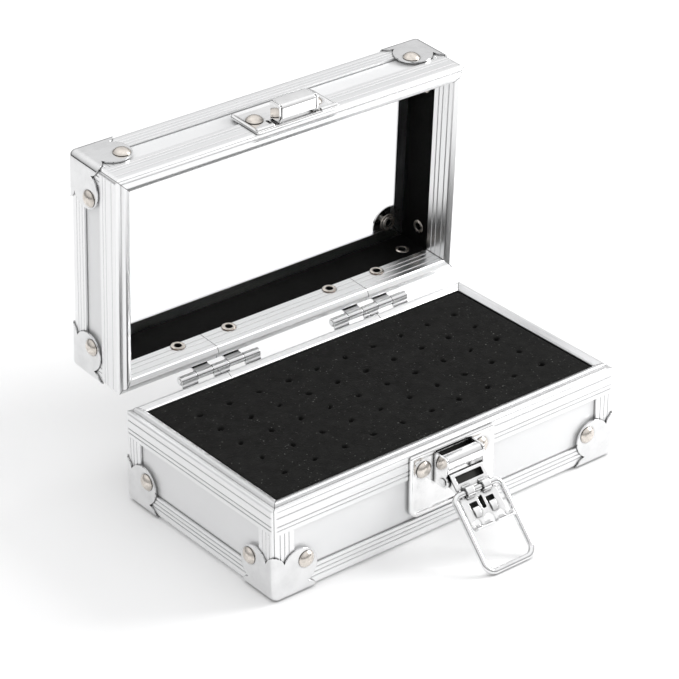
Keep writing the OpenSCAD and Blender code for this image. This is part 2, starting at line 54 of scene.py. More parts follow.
HALF_X, HALF_Y = 75.0, 41.5
SEAM_Z = 36.8
TOP_Z = 66.0
HINGE_Y = 43.7
LID_OPEN = 87.0
INNER_WALL = 5.3
FOAM_TOP = 35.3
FLOOR_TOP = 4.3
GUARD_T = 0.7
GUARD_RIVET = 12.6
GUARD_Z = 13.0
BOARD_IN = 4.3
SHANK_R = 1.5
KNUCKLES = 5
KNUCKLE_GAP = 0.2
LEAF_T, LEAF_H = 0.8, 14.0
HINGE_X, HINGE_L = 33.5, 34.0
HINGE_RIVET_DX, HINGE_RIVET_DZ = 11.0, 9.2
LATCH_RIVET_X, LATCH_RIVET_Z = 12.6, 27.8
KEEPER_RIVET_DZ = 9.3
PLATE_DISH, KEEPER_DISH = 0.72, 0.74    # how far the plates stand off the wall under their rivets

BASE = Matrix.Identity(4)
HINGE = Vector((0, HINGE_Y, SEAM_Z))
OPENED = (
    Matrix.Translation(HINGE)
    @ Matrix.Rotation(math.radians(-LID_OPEN), 4, "X")
    @ Matrix.Translation(-HINGE)
)
LEVER_HANG = 43.3
LATCH_PIN = Vector((0, -HALF_Y - 5.7, 23.6))
LEVER = Matrix.Translation(LATCH_PIN) @ Matrix.Rotation(math.radians(-LEVER_HANG), 4, "X")


# ---------- materials ----------


def principled(name):
    mat = bpy.data.materials.new(name)
    mat.use_nodes = True
    nodes = mat.node_tree.nodes
    shader = nodes["Principled BSDF"] if "Principled BSDF" in nodes else None
    if shader is None:
        nodes.clear()
        shader = nodes.new("ShaderNodeBsdfPrincipled")
        out = nodes.new("ShaderNodeOutputMaterial")
        mat.node_tree.links.new(shader.outputs[0], out.inputs["Surface"])
    return mat, shader


class Graph:
    """Short names for the nodes that the materials use."""

    def __init__(self, mat, lid=False):
        self.tree = mat.node_tree
        self.coord = self.tree.nodes.new("ShaderNodeTexCoord").outputs["Object"]
        if lid:
            h = HINGE * MM
            turn = Matrix.Rotation(math.radians(LID_OPEN), 3, "X")
            shift = h - turn @ h
            m = self.tree.nodes.new("ShaderNodeMapping")
            m.inputs["Rotation"].default_value = (math.radians(LID_OPEN), 0, 0)
            m.inputs["Location"].default_value = shift
            self.link(self.coord, m.inputs["Vector"])
            self.coord = m.outputs[0]

    def link(self, a, b):
        self.tree.links.new(a, b)

    def scaled(self, scale, coord=None):
        m = self.tree.nodes.new("ShaderNodeMapping")
        m.inputs["Scale"].default_value = scale
        self.link(coord or self.coord, m.inputs["Vector"])
        return m.outputs[0]

    def noise(self, scale, detail=3.0, rough=0.5, coord=None):
        n = self.tree.nodes.new("ShaderNodeTexNoise")
        n.inputs["Scale"].default_value = 1.0
        n.inputs["Detail"].default_value = detail
        n.inputs["Roughness"].default_value = rough
        s = (scale, scale, scale) if isinstance(scale, (int, float)) else scale
        self.link(self.scaled(s, coord), n.inputs["Vector"])
        return n.outputs["Fac"]

    def cells(self, scale):
        n = self.tree.nodes.new("ShaderNodeTexVoronoi")
        n.inputs["Scale"].default_value = 1.0
        s = (scale, scale, scale) if isinstance(scale, (int, float)) else scale
        self.link(self.scaled(s), n.inputs["Vector"])
        return n.outputs["Distance"]

    def math(self, op, a, b=0.0, c=None, clamp=False):
        n = self.tree.nodes.new("ShaderNodeMath")
        n.operation = op
        n.use_clamp = clamp
        for i, v in enumerate([a, b] + ([c] if c is not None else [])):
            if isinstance(v, (int, float)):
                n.inputs[i].default_value = v
            else:
                self.link(v, n.inputs[i])
        return n.outputs[0]

    def remap(self, value, a, b, c, d):
        n = self.tree.nodes.new("ShaderNodeMapRange")
        n.clamp = True
        for i, v in enumerate((a, b, c, d)):
            n.inputs[i + 1].default_value = v
        self.link(value, n.inputs[0])
        return n.outputs[0]

    def mix(self, fac, a, b):
        n = self.tree.nodes.new("ShaderNodeMix")
        n.data_type = "RGBA"
        if isinstance(fac, (int, float)):
            n.inputs["Factor"].default_value = fac
        else:
            self.link(fac, n.inputs["Factor"])
        for k, v in ((6, a), (7, b)):
            if isinstance(v, tuple):
                n.inputs[k].default_value = (*v, 1.0)
            else:
                self.link(v, n.inputs[k])
        return n.outputs[2]

    def blend(self, fac, a, b):
        """Blend of two values."""
        n = self.tree.nodes.new("ShaderNodeMix")
        n.data_type = "FLOAT"
        self.link(fac, n.inputs["Factor"])
        self.link(a, n.inputs[2])
        self.link(b, n.inputs[3])
        return n.outputs[0]

    def split(self):
        n = self.tree.nodes.new("ShaderNodeSeparateXYZ")
        self.link(self.coord, n.inputs[0])
        return n.outputs

    def painted_crevice_shade(self, tone, reach_mm, dark=0.12, power=1.6):
        """Painted shade: darkens a colour in the gaps where two pieces meet, where shadow falls."""
        n = self.tree.nodes.new("ShaderNodeAmbientOcclusion")
        n.samples = 6
        n.inputs["Distance"].default_value = reach_mm * MM
        open_part = self.math("POWER", n.outputs["AO"], power)
        return self.mix(open_part, (dark, dark, dark), tone)

    def bump(self, height, distance, strength=1.0, round_mm=0.0):
        n = self.tree.nodes.new("ShaderNodeBump")
        n.inputs["Distance"].default_value = distance
        n.inputs["Strength"].default_value = strength
        self.link(height, n.inputs["Height"])
        if round_mm:
            b = self.tree.nodes.new("ShaderNodeBevel")
            b.samples = 6
            b.inputs["Radius"].default_value = round_mm * MM
            self.link(b.outputs[0], n.inputs["Normal"])
        return n.outputs[0]


def rail_material(name, lid):
    """Satin rolled aluminium with fine drawing lines along each rail and a hairline at each mitre."""
    mat, s = principled(name)
    g = Graph(mat, lid)
    x, y, _ = g.split()
    ax = g.math("SUBTRACT", g.math("ABSOLUTE", x), HALF_X * MM)
    ay = g.math("SUBTRACT", g.math("ABSOLUTE", y), HALF_Y * MM)
    off = g.math("SUBTRACT", ax, ay)
    side = g.math("GREATER_THAN", off, 0.0)
    line_x = g.noise((25, 5200, 5200), 4.0, 0.6)
    line_y = g.noise((5200, 25, 5200), 4.0, 0.6)
    lines = g.blend(side, line_x, line_y)
    cloud = g.noise(38, 4.0, 0.55)
    seam = g.math("LESS_THAN", g.math("ABSOLUTE", off), 0.00014)
    tone = g.mix(g.remap(lines, 0.3, 0.7, 0.0, 1.0), (0.82, 0.825, 0.83), (0.97, 0.97, 0.97))
    tone = g.mix(g.remap(cloud, 0.35, 0.7, 0.0, 0.4), tone, (0.86, 0.865, 0.87))
    tone = g.mix(seam, tone, (0.10, 0.10, 0.10))
    # painted shade darkens the rail in its grooves and in the gaps beside it
    g.link(g.painted_crevice_shade(tone, 0.5, 0.08, 1.9), s.inputs["Base Color"])
    s.inputs["Metallic"].default_value = 1.0
    g.link(g.remap(lines, 0.25, 0.75, 0.26, 0.40), s.inputs["Roughness"])
    g.link(g.bump(lines, 0.00004, 0.5, 0.12), s.inputs["Normal"])
    return mat


def laminate_material(name, lid):
    """Silver-white laminate: a smooth sheet with a very fine pressed grain."""
    mat, s = principled(name)
    g = Graph(mat, lid)
    grain = g.noise(2600, 3.0, 0.6)
    cloud = g.noise(24, 4.0, 0.5)
    tone = g.mix(g.remap(cloud, 0.3, 0.7, 0.0, 1.0), (0.78, 0.785, 0.79), (0.83, 0.832, 0.835))
    # painted shade darkens the laminate where it meets the rails
    g.link(g.painted_crevice_shade(tone, 0.7, 0.03), s.inputs["Base Color"])
    s.inputs["Metallic"].default_value = 0.25
    g.link(g.remap(grain, 0.3, 0.7, 0.30, 0.38), s.inputs["Roughness"])
    s.inputs["Specular IOR Level"].default_value = 0.45
    g.link(g.bump(grain, 0.00003, 0.25), s.inputs["Normal"])
    return mat


def plated_material(name, tint=(0.80, 0.802, 0.805), rough=(0.07, 0.16), round_mm=0.18,
                    shade_gap=(0.9, 0.05, 1.6)):
    """Bright plated steel: mirror-like, with faint waviness, fine wiping marks and dull spots."""
    mat, s = principled(name)
    g = Graph(mat)
    wave = g.noise(420, 2.0, 0.5)
    wipe = g.noise((900, 4200, 2600), 3.0, 0.55)
    spots = g.noise(160, 5.0, 0.62)
    dark = tuple(0.86 * v for v in tint)
    tone = g.mix(g.remap(spots, 0.42, 0.72, 0.0, 0.8), tint, dark)
    # painted shade darkens the gaps between pieces; the three numbers give its reach, darkness and
    # falloff
    g.link(g.painted_crevice_shade(tone, *shade_gap), s.inputs["Base Color"])
    s.inputs["Metallic"].default_value = 1.0
    g.link(g.remap(spots, 0.35, 0.75, *rough), s.inputs["Roughness"])
    both = g.math("ADD", g.math("MULTIPLY", wave, 1.0), g.math("MULTIPLY", wipe, 0.12))
    g.link(g.bump(both, 0.00007, 0.45, round_mm), s.inputs["Normal"])
    return mat


def rivet_material(name, tint):
    """Rivet metal: warm, satin, clouded with duller spots, with painted shade in its gaps."""
    mat, s = principled(name)
    g = Graph(mat)
    spots = g.noise(650, 5.0, 0.6)
    dark = tuple(0.72 * v for v in tint)
    tone = g.mix(g.remap(spots, 0.35, 0.75, 0.0, 1.0), tint, dark)
    g.link(g.painted_crevice_shade(tone, 1.4, 0.03, 1.8), s.inputs["Base Color"])
    s.inputs["Metallic"].default_value = 1.0
    g.link(g.remap(spots, 0.3, 0.7, 0.22, 0.36), s.inputs["Roughness"])
    g.link(g.bump(spots, 0.00005, 0.35, 0.08), s.inputs["Normal"])
    return mat


def foam_material(name):
    """Black closed-cell foam: fine cells, pale dust specks, soft sheen."""
    mat, s = principled(name)
    g = Graph(mat)
    cells = g.cells(2100)
    coarse = g.noise(330, 4.0, 0.65)
    fleck = g.noise(1500, 2.0, 0.4)
    specks = g.remap(fleck, 0.715, 0.745, 0.0, 1.0)
    tone = g.mix(g.remap(coarse, 0.3, 0.7, 0.0, 1.0), (0.0060, 0.0060, 0.0057), (0.0135, 0.0135, 0.0128))
    tone = g.mix(g.remap(cells, 0.0, 0.5, 0.55, 0.0), tone, (0.006, 0.006, 0.006))
    tone = g.mix(g.math("MULTIPLY", specks, 0.6), tone, (0.20, 0.20, 0.19))
    g.link(tone, s.inputs["Base Color"])
    s.inputs["Roughness"].default_value = 0.85
    s.inputs["Specular IOR Level"].default_value = 0.06
    s.inputs["Sheen Weight"].default_value = 0.015
    s.inputs["Sheen Roughness"].default_value = 0.6
    relief = g.math("ADD", cells, g.math("MULTIPLY", coarse, 0.8))
    g.link(g.bump(relief, 0.00022, 0.7), s.inputs["Normal"])
    return mat


def lining_material(name):
    """Matt black board lining with a fibrous grain."""
    mat, s = principled(name)
    g = Graph(mat, True)
    fibre = g.noise((700, 700, 2600), 4.0, 0.65)
    cloud = g.noise(60, 3.0, 0.5)
    tone = g.mix(g.remap(fibre, 0.3, 0.7, 0.0, 1.0), (0.002, 0.002, 0.002), (0.0055, 0.0055, 0.0052))
    g.link(tone, s.inputs["Base Color"])
    g.link(g.remap(cloud, 0.3, 0.7, 0.7, 0.85), s.inputs["Roughness"])
    s.inputs["Specular IOR Level"].default_value = 0.08
    g.link(g.bump(fibre, 0.00008, 0.5), s.inputs["Normal"])
    return mat


def window_material(name):
    """Clear sheet with faint haze and hairline scuffs."""
    mat, s = principled(name)
    g = Graph(mat, True)
    scuff = g.noise((900, 90, 900), 3.0, 0.5)
    haze = g.noise(30, 3.0, 0.5)
    g.link(g.mix(haze, (0.985, 0.99, 0.99), (1.0, 1.0, 1.0)), s.inputs["Base Color"])
    g.link(g.remap(scuff, 0.6, 0.85, 0.01, 0.05), s.inputs["Roughness"])
    s.inputs["Transmission Weight"].default_value = 1.0
    s.inputs["IOR"].default_value = 1.15
    return mat


RAIL_BASE = rail_material("rail_aluminium_base", False)
RAIL_LID = rail_material("rail_aluminium_lid", True)
BOARD_BASE = laminate_material("wall_laminate_base", False)
BOARD_LID = laminate_material("wall_laminate_lid", True)
PLATED = plated_material("plated_steel")
WIRE = plated_material("plated_wire", round_mm=0.0)
# the latch parts get a wider, darker painted shade in their gaps
LATCH = plated_material("plated_latch", (0.92, 0.92, 0.92), shade_gap=(1.5, 0.02, 1.8))
# painted shade: near-black stand-in for the shade in rivet bores, inside the bracket and behind the
# lever's slots
PAINTED_SHADE_BLACK = plated_material("painted_shade_black", (0.022, 0.022, 0.021), (0.4, 0.6), 0.0)
NICKEL = rivet_material("nickel_rivet", (0.80, 0.745, 0.685))
COPPER = rivet_material("copper_flash", (0.74, 0.52, 0.38))
FOAM = foam_material("black_foam")
LINING = lining_material("black_lining")
WINDOW = window_material("clear_window")


def material_for(node):
    lid = node.startswith("lid_")
    if node.endswith("_panel") or node == "base_floor_board":
        return BOARD_LID if lid else BOARD_BASE
    if "edge_angle" in node or "upright" in node or "rim" in node:
        return RAIL_LID if lid else RAIL_BASE
    if node == "foam_insert":
        return FOAM
    if node == "lid_lining":
        return LINING
    if node == "window_pane":
        return WINDOW
    if "rivets" in node:
        return NICKEL
    if node == "latch_bail" or "pin" in node:
        return WIRE
    return PLATED


for name, obj in frame["nodes"].items():
    mat = material_for(name)
    if not obj.data.materials:
        obj.data.materials.append(mat)
    for slot in obj.material_slots:
        slot.material = mat


# ---------- building helpers ----------


def place(name, bm, body, mats, node, smooth=38.0, bevel=0.0, segments=2):
    """Makes the piece that stands for a CAD node; bm is in millimetres in the case's frame."""
    bmesh.ops.recalc_face_normals(bm, faces=bm.faces[:])
    bmesh.ops.scale(bm, vec=(MM, MM, MM), verts=bm.verts[:])
    mesh = bpy.data.meshes.new(name)
    bm.to_mesh(mesh)
    bm.free()
    for mat in mats:
        mesh.materials.append(mat)
    obj = bpy.data.objects.new(name, mesh)
    bpy.context.collection.objects.link(obj)
    if bevel:
        mod = obj.modifiers.new("edges", "BEVEL")
        mod.width = bevel * MM
        mod.segments = segments
        mod.limit_method = "ANGLE"
        mod.angle_limit = math.radians(38)
        mod.use_clamp_overlap = True
    for face in mesh.polygons:
        face.use_smooth = True
    mesh.set_sharp_from_angle(angle=math.radians(smooth))
    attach(obj, body)
    if node:
        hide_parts(node)
    return obj


def lathe(bm, profile, at, steps=40, zones=()):
    """Turns (radius, height) points about local Z. Each zone (a, b, m) gives faces a to b material m."""
    rings = []
    for r, z in profile:
        if r < 1e-6:
            rings.append([bm.verts.new(at @ Vector((0, 0, z)))])
        else:
            rings.append([
                bm.verts.new(at @ Vector((
                    r * math.cos(2 * math.pi * i / steps), r * math.sin(2 * math.pi * i / steps), z
                )))
                for i in range(steps)
            ])
    for n, (a, b) in enumerate(zip(rings, rings[1:])):
        for i in range(steps):
            j = (i + 1) % steps
            if len(a) == 1 and len(b) == 1:
                continue
            if len(a) == 1:
                face = bm.faces.new([a[0], b[i], b[j]])
            elif len(b) == 1:
                face = bm.faces.new([a[i], b[0], a[j]])
            else:
                face = bm.faces.new([a[i], b[i], b[j], a[j]])
            for first, last, material in zones:
                if first <= n < last:
                    face.material_index = material


def on_side(k, along, z):
    """Axis of a rivet on the front, right, back or left wall, its head pointing along local +Z."""
    depth = HALF_Y if k % 2 == 0 else HALF_X
    return (
        Matrix.Rotation(math.radians(90 * k), 4, "Z")
        @ Matrix.Translation((along, -depth, z))
        @ Matrix.Rotation(math.radians(90), 4, "X")
    )


def outline(x0, x1, z0, z1, radii, steps=8):
    """Rounded rectangle, corner radii from lower left round to upper left."""
    centres = ((x0, z0, 180), (x1, z0, 270), (x1, z1, 0), (x0, z1, 90))
    points = []
    for (x, z, start), r in zip(centres, radii):
        cx = x + (r if x == x0 else -r)
        cz = z + (r if z == z0 else -r)
        for i in range(steps + 1):
            a = math.radians(start + 90 * i / steps)
            points.append((cx + r * math.cos(a), cz + r * math.sin(a)))
    return points


def loft(bm, rings, at, material=0, cap_first=True, cap_last=True):
    """Skins rings of equal length; each ring is a list of 3-D points."""
    made = [[bm.verts.new(at @ Vector(p)) for p in ring] for ring in rings]
    n = len(rings[0])
    for a, b in zip(made, made[1:]):
        for i in range(n):
            j = (i + 1) % n
            bm.faces.new([a[i], a[j], b[j], b[i]]).material_index = material
    if cap_first:
        bm.faces.new(made[0][::-1]).material_index = material
    if cap_last:
        bm.faces.new(made[-1]).material_index = material


def fillet(points, radius, steps=5):
    """Rounds the inner corners of an open polyline."""
    out = [Vector(points[0])]
    for k in range(1, len(points) - 1):
        p, a, b = (Vector(points[k + d]) for d in (0, -1, 1))
        r = radius[k - 1] if isinstance(radius, (list, tuple)) else radius
        da, db = (a - p).normalized(), (b - p).normalized()
        half = math.acos(max(-1.0, min(1.0, da.dot(db)))) / 2
        if r <= 0 or half > math.radians(88):
            out.append(p)
            continue
        cut = min(r / math.tan(half), 0.49 * (a - p).length, 0.49 * (b - p).length)
        r = cut * math.tan(half)
        centre = p + (da + db).normalized() * (r / math.sin(half))
        s, e = p + da * cut - centre, p + db * cut - centre
        turn = math.atan2(s.x * e.y - s.y * e.x, s.dot(e))
        for i in range(steps + 1):
            t = turn * i / steps
            out.append(centre + Vector((
                s.x * math.cos(t) - s.y * math.sin(t), s.x * math.sin(t) + s.y * math.cos(t)
            )))
    out.append(Vector(points[-1]))
    return out


def bent_sheet(bm, path, thick, x0, x1, at, slices=1, wave=None):
    """Sheet that follows path, a list of (a, b) centre-line points, across x0 to x1.
    A point goes to (x, a, b); wave(x) may lengthen the last point of the path."""
    pts = [Vector(p) for p in path]
    sides = []
    for i, p in enumerate(pts):
        d = (pts[min(i + 1, len(pts) - 1)] - pts[max(i - 1, 0)]).normalized()
        n = Vector((-d.y, d.x)) * (thick / 2)
        if 0 < i < len(pts) - 1:
            e = (p - pts[i - 1]).normalized()
            n /= max(0.5, Vector((-e.y, e.x)).dot(n.normalized()))
        sides.append((p + n, p - n))
    ring = [a for a, _ in sides] + [b for _, b in reversed(sides)]
    last = {len(sides) - 1, len(sides)}
    tail = (pts[-1] - pts[-2]).normalized()
    rings = []
    for k in range(slices + 1):
        x = x0 + (x1 - x0) * k / slices
        push = tail * wave(x) if wave else Vector((0, 0))
        rings.append([
            (x, *(q + push if i in last else q)) for i, q in enumerate(ring)
        ])
    loft(bm, rings, at)


# ---------- rivets ----------

HEAD = [(0, 1.70), (0.7, 1.66), (1.4, 1.50), (2.0, 1.22), (2.5, 0.86), (2.82, 0.52), (2.98, 0.30),
        (3.08, 0.24), (3.10, 0.10), (3.02, 0.0)]
SMALL_HEAD = [(0, 0.9), (0.8, 0.86), (1.5, 0.70), (2.05, 0.42), (2.32, 0.18), (2.4, 0.06), (2.36, 0.0)]


def rivet(bm, at, head, reach, tail=True):
    """Tubular rivet; with a tail, its end is rolled over at the depth reach, round a bore painted black
    as painted shade.
    """
    profile = list(head) + [(SHANK_R, 0.0), (SHANK_R, -reach)]
    zones = ()
    if tail:
        z = -reach
        roll = [(1.6, z), (2.35, z + 0.02), (2.6, z - 0.14), (2.58, z - 0.34), (2.3, z - 0.52),
                (1.75, z - 0.58), (1.4, z - 0.44), (1.22, z - 0.12), (1.15, z + 0.4), (1.1, z + 3.2),
                (0.0, z + 3.3)]
        start = len(profile)
        # the rim of the rolled end takes the edge metal; the bore inside it is painted black as painted
        # shade
        zones = ((start, start + 3, 1), (start + 6, start + 12, 2))
        profile += roll
    else:
        profile += [(0.0, -reach)]
    lathe(bm, profile, at, 36, zones)


def guard_rivets(bm, at, z, reach, tail):
    for k in range(4):
        half = HALF_X if k % 2 == 0 else HALF_Y
        for s in (-1, 1):
            rivet(bm, at @ on_side(k, s * (half - GUARD_RIVET), z)
                  @ Matrix.Translation((0, 0, GUARD_T)), HEAD, reach, tail)


def finish_rivets(bm, name, body, node, edge):
    """Places the rivets; edge is the material of the outside of their rolled ends."""
    piece = place(name, bm, body, [NICKEL, edge, PAINTED_SHADE_BLACK], node)


def corner_spots(z):
    for cx in (-1, 1):
        for cy in (-1, 1):
            yield Matrix.Translation((cx * (HALF_X - GUARD_RIVET), cy * (HALF_Y - GUARD_RIVET), z))


bm = bmesh.new()
guard_rivets(bm, BASE, GUARD_Z, GUARD_T + BOARD_IN, False)
flush = [(0, 0.22), (0.9, 0.16), (1.3, 0.03), (SHANK_R, 0.0), (SHANK_R, 4.2), (0, 4.2)]
for spot in corner_spots(0):
    lathe(bm, flush, spot)
finish_rivets(bm, "case_rivets", "case_base", "base_rivets", COPPER)

bm = bmesh.new()
guard_rivets(bm, OPENED, TOP_Z - GUARD_Z, GUARD_T + BOARD_IN + 0.8, True)
for spot in corner_spots(TOP_Z):
    rivet(bm, OPENED @ spot, HEAD, GUARD_T + 3.0, True)
    # two washers under the rolled end
    for depth, radius in ((3.72, 3.3), (4.35, 2.7)):
        lathe(bm, [(SHANK_R, -depth), (radius, -depth), (radius + 0.12, -depth - 0.2),
                   (radius, -depth - 0.42), (SHANK_R, -depth - 0.42)], OPENED @ spot)
finish_rivets(bm, "cover_rivets", "lid", "lid_rivets", NICKEL)

for name, body, node, at, up, tail in (
    ("case_hinge_rivets", "case_base", "base_hinge_rivets", BASE, -1, False),
    ("cover_hinge_rivets", "lid", "lid_hinge_rivets", OPENED, 1, True),
):
    bm = bmesh.new()
    for s in (-1, 1):
        for d in (-1, 1):
            spot = on_side(2, s * HINGE_X + d * HINGE_RIVET_DX, SEAM_Z + up * HINGE_RIVET_DZ)
            rivet(bm, at @ spot @ Matrix.Translation((0, 0, LEAF_T)), SMALL_HEAD,
                  LEAF_T + INNER_WALL, tail)
    finish_rivets(bm, name, body, node, COPPER)

for name, body, node, at, z, dish, reach, tail in (
    ("catch_rivets", "case_base", "latch_rivets", BASE, LATCH_RIVET_Z, PLATE_DISH,
     PLATE_DISH + INNER_WALL, False),
    ("keeper_rivets", "lid", "strike_rivets", OPENED, SEAM_Z + KEEPER_RIVET_DZ, KEEPER_DISH,
     0.8 + INNER_WALL, True),
):
    bm = bmesh.new()
    for s in (-1, 1):
        spot = on_side(0, s * LATCH_RIVET_X, z) @ Matrix.Translation((0, 0, dish))
        rivet(bm, at @ spot, HEAD, reach, tail)
    finish_rivets(bm, name, body, node, COPPER)


# ---------- hinges ----------

def hinge_leaf(name, middle, own, flip, at, body, node):
    """Rolled leaf: a riveted plate with strips curled round the pin. own picks its knuckles."""
    bm = bmesh.new()
    pitch = HINGE_L / KNUCKLES
    x0 = middle - HINGE_L / 2

    def level(d):
        return SEAM_Z - flip * d

    bent_sheet(bm, [(0.4, level(LEAF_H)), (0.4, level(3.2))], LEAF_T, x0, x0 + HINGE_L, at)
    curl = [(0.45, level(3.4)), (0.5, level(2.6)), (0.85, level(1.5))]
    for a in range(180, -131, -15):
        t = math.radians(a)
        curl.append((2.2 + 1.3 * math.cos(t), level(-1.3 * math.sin(t))))
    for i in range(own, KNUCKLES, 2):
        bent_sheet(bm, curl, 0.62, x0 + i * pitch + KNUCKLE_GAP / 2,
                   x0 + (i + 1) * pitch - KNUCKLE_GAP / 2, at)
    piece = place(name, bm, body, [PLATED], node, smooth=50)


BACK = Matrix.Translation((0, HALF_Y, 0))
for s, side in ((-1, "left"), (1, "right")):
    hinge_leaf("base_leaf_" + side, s * HINGE_X, 0, 1, BACK, "case_base", "hinge_base_leaf_" + side)
    hinge_leaf("cover_leaf_" + side, s * HINGE_X, 1, -1, OPENED @ BACK, "lid", "hinge_lid_leaf_" + side)


# ---------- foam ----------

FOAM_X, FOAM_Y = 69.5, 36.0
COLS, ROWS, DX, DY = 10, 5, 12.6, 11.7
SIDE = 8


def surface_noise(x, y):
    p = Vector((x * 0.045, y * 0.045, 3.1))
    q = Vector((x * 0.6, y * 0.6, 9.7))
    return 0.10 * noise.noise(p) + 0.045 * noise.noise(q)


def foam():
    """Foam block: a slightly uneven top with punched, ragged holes and soft outer edges."""
    bm = bmesh.new()
    grid_x = [-COLS * DX / 2 + DX * i / SIDE for i in range(COLS * SIDE + 1)]
    grid_y = [-ROWS * DY / 2 + DY * j / SIDE for j in range(ROWS * SIDE + 1)]
    margin_x = [-FOAM_X, -FOAM_X + 0.5, -FOAM_X + 1.6, -FOAM_X + 3.6]
    margin_y = [-FOAM_Y, -FOAM_Y + 0.5, -FOAM_Y + 1.6, -FOAM_Y + 3.6]
    xs = margin_x + grid_x + [-v for v in reversed(margin_x)]
    ys = margin_y + grid_y + [-v for v in reversed(margin_y)]
    verts = {}

    def height(x, y):
        edge = min(FOAM_X - abs(x), FOAM_Y - abs(y))
        drop = 0.45 * max(0.0, 1 - edge / 0.9) ** 2
        return FOAM_TOP - 0.18 + surface_noise(x, y) - drop

    for i, x in enumerate(xs):
        for j, y in enumerate(ys):
            verts[i, j] = bm.verts.new((x, y, height(x, y)))
    m = len(margin_x)
    for i in range(len(xs) - 1):
        for j in range(len(ys) - 1):
            if m <= i < m + COLS * SIDE and m <= j < m + ROWS * SIDE:
                continue
            bm.faces.new([verts[i, j], verts[i + 1, j], verts[i + 1, j + 1], verts[i, j + 1]])
    for a in range(COLS):
        for b in range(ROWS):
            hole(bm, verts, height, m + a * SIDE, m + b * SIDE, xs, ys)
    rim = []
    nx, ny = len(xs) - 1, len(ys) - 1
    rim += [verts[i, 0] for i in range(nx)] + [verts[nx, j] for j in range(ny)]
    rim += [verts[i, ny] for i in range(nx, 0, -1)] + [verts[0, j] for j in range(ny, 0, -1)]
    low = [bm.verts.new((v.co.x, v.co.y, FLOOR_TOP + 0.02)) for v in rim]
    for k in range(len(rim)):
        n = (k + 1) % len(rim)
        bm.faces.new([rim[k], low[k], low[n], rim[n]])
    bm.faces.new(low)
    piece = place("foam_block", bm, "case_base", [FOAM], "foam_insert", smooth=60)


def hole(bm, verts, height, i0, j0, xs, ys):
    """One punched hole in the cell whose first corner is grid point i0, j0."""
    n = SIDE
    border = [(i0 + t, j0) for t in range(n)] + [(i0 + n, j0 + t) for t in range(n)]
    border += [(i0 + n - t, j0 + n) for t in range(n)] + [(i0, j0 + n - t) for t in range(n)]
    cx, cy = (xs[i0] + xs[i0 + n]) / 2, (ys[j0] + ys[j0 + n]) / 2
    cx += random.uniform(-0.25, 0.25)
    cy += random.uniform(-0.25, 0.25)
    wide, turn = random.uniform(1.0, 1.22), random.uniform(0, math.pi)
    narrow = wide * random.uniform(0.62, 0.95)
    seed = random.uniform(0, 90)
    outer = [verts[k] for k in border]
    angles = [math.atan2(v.co.y - cy, v.co.x - cx) for v in outer]

    def edge(a, grow):
        u, v = math.cos(a - turn), math.sin(a - turn)
        r = 1 / math.sqrt((u / wide) ** 2 + (v / narrow) ** 2)
        r *= 1 + 0.16 * noise.noise(Vector((math.cos(a) * 1.7, math.sin(a) * 1.7, seed)))
        return r * grow

    previous = outer
    for level, (grow, drop) in enumerate(
        ((2.6, 0.0), (1.7, 0.03), (1.22, 0.12), (1.05, 0.32), (0.97, 0.75), (0.93, 2.5), (0.9, 24.0))
    ):
        ring = []
        for a in angles:
            x, y = cx + edge(a, grow) * math.cos(a), cy + edge(a, grow) * math.sin(a)
            ring.append(bm.verts.new((x, y, height(x, y) - drop)))
        for k in range(len(ring)):
            q = (k + 1) % len(ring)
            bm.faces.new([previous[k], previous[q], ring[q], ring[k]])
        previous = ring
    bm.faces.new(previous)


foam()


# ---------- latch plate, bracket, lever ----------

FRONT = Matrix(((1, 0, 0, 0), (0, -1, 0, -HALF_Y), (0, 0, 1, 0), (0, 0, 0, 1)))


def latch_plate():
    """Dished plate: a raised rounded border round a sunk middle. Depth is measured out of the wall."""
    bm = bmesh.new()
    rings = []
    for inset, out in ((0.0, 0.0), (0.0, 0.7), (0.12, 1.0), (0.42, 1.18), (0.9, 1.2), (1.35, 1.12),
                       (1.8, 0.86), (2.3, 0.72), (3.0, 0.70)):
        r_low, r_high = max(3.5 - inset, 0.6), max(1.0 - inset * 0.4, 0.3)
        line = outline(-18.5 + inset, 18.5 - inset, 10.3 + inset, 34.3 - inset,
                       (r_low, r_low, r_high, r_high))
        rings.append([(x, out, z) for x, z in line])
    loft(bm, rings, FRONT)
    piece = place("catch_plate", bm, "case_base", [LATCH], "latch_plate", smooth=50)


def ear(bm, x0):
    """Side plate of the bracket, rounded round the pin."""
    points = [(0.7, 33.0), (0.7, 21.6), (2.6, 21.3)]
    for a in range(-80, 61, 10):
        t = math.radians(a)
        points.append((5.7 + 2.4 * math.cos(t), 23.6 + 2.4 * math.sin(t)))
    points += [(7.35, 26.4), (7.6, 27.4), (7.6, 31.6)]
    for a in range(0, 91, 15):
        t = math.radians(a)
        points.append((6.2 + 1.4 * math.cos(t), 31.6 + 1.4 * math.sin(t)))
    rings = [[(x, a, b) for a, b in points] for x in (x0, x0 + 0.8)]
    loft(bm, rings, FRONT)


def latch_bracket():
    bm = bmesh.new()
    ear(bm, -8.3)
    ear(bm, 7.5)
    path = fillet([(3.9, 32.35), (6.2, 32.6), (7.2, 31.2), (7.2, 28.9), (6.9, 28.4)], 1.0)
    bent_sheet(bm, path, 0.8, -7.55, 7.55, FRONT)
    # painted shade: a black sheet across the inside of the bracket, for the shade in its mouth
    loft(bm, [[(x, v, z) for x, v in ((-7.4, 1.3), (7.4, 1.3), (7.4, 5.6), (-7.4, 5.6))]
              for z in (29.6, 30.0)], FRONT, 1)
    piece = place("catch_bracket", bm, "case_base", [LATCH, PAINTED_SHADE_BLACK], "latch_bracket", bevel=0.14)


